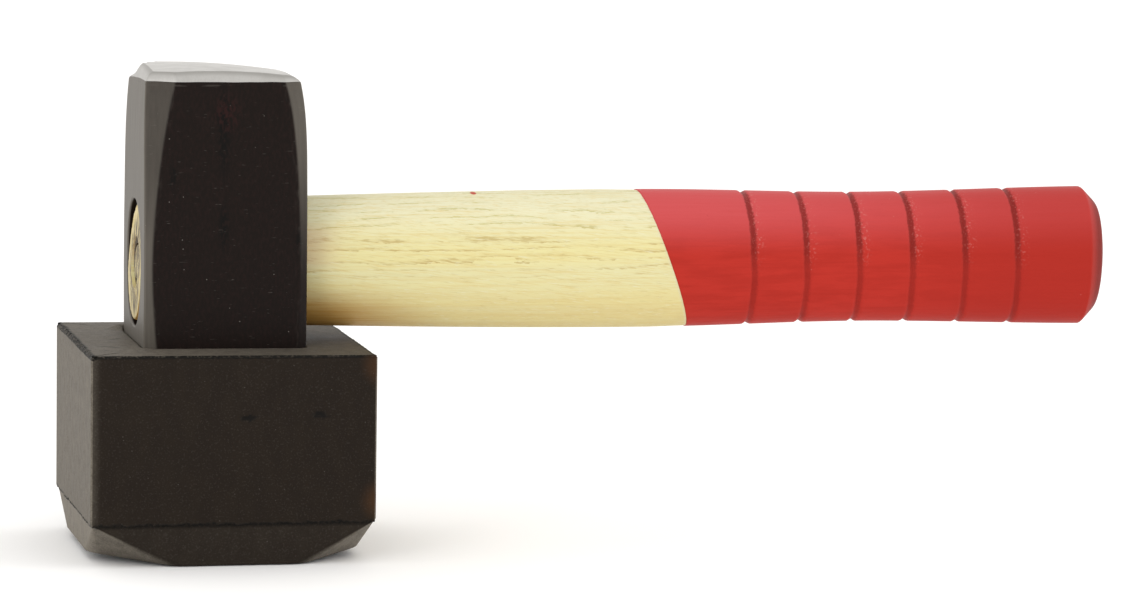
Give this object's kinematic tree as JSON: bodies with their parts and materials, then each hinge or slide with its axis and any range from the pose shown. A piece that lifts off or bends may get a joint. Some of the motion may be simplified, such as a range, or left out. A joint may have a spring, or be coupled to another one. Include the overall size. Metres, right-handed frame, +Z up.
{
  "type": "club hammer with rubber cap",
  "caption": "Short-handled club hammer: square forged head with faceted edges, oval wooden handle with a red dipped grip, and a push-on rubber cap for soft blows.",
  "frame": {"origin": "middle of the flat strip of the rubber cap's sole, which the hammer stands on", "axes": "+Z up the head from the sole to the bare striking face, +X along the handle from the head to the butt, +Y across the head"},
  "size_m": [0.2968, 0.0786, 0.1343],
  "materials": {
    "black_lacquered_steel": "satin",
    "ash_wood": "satin",
    "red_dip_coat": "satin",
    "dull_steel": "matte",
    "black_rubber": "matte"
  },
  "bodies": {
    "cap": {"rubber_cap": "black_rubber"},
    "hammer": {"hammer_head": "black_lacquered_steel", "handle": "ash_wood", "grip_coating": "red_dip_coat", "ring_wedge": "dull_steel"}
  },
  "joints": [
    {"name": "cap_pull_off", "type": "slide", "parent": "cap", "child": "hammer", "axis": [0, 0, 1], "range_m": [0, 0.04]}
  ]
}
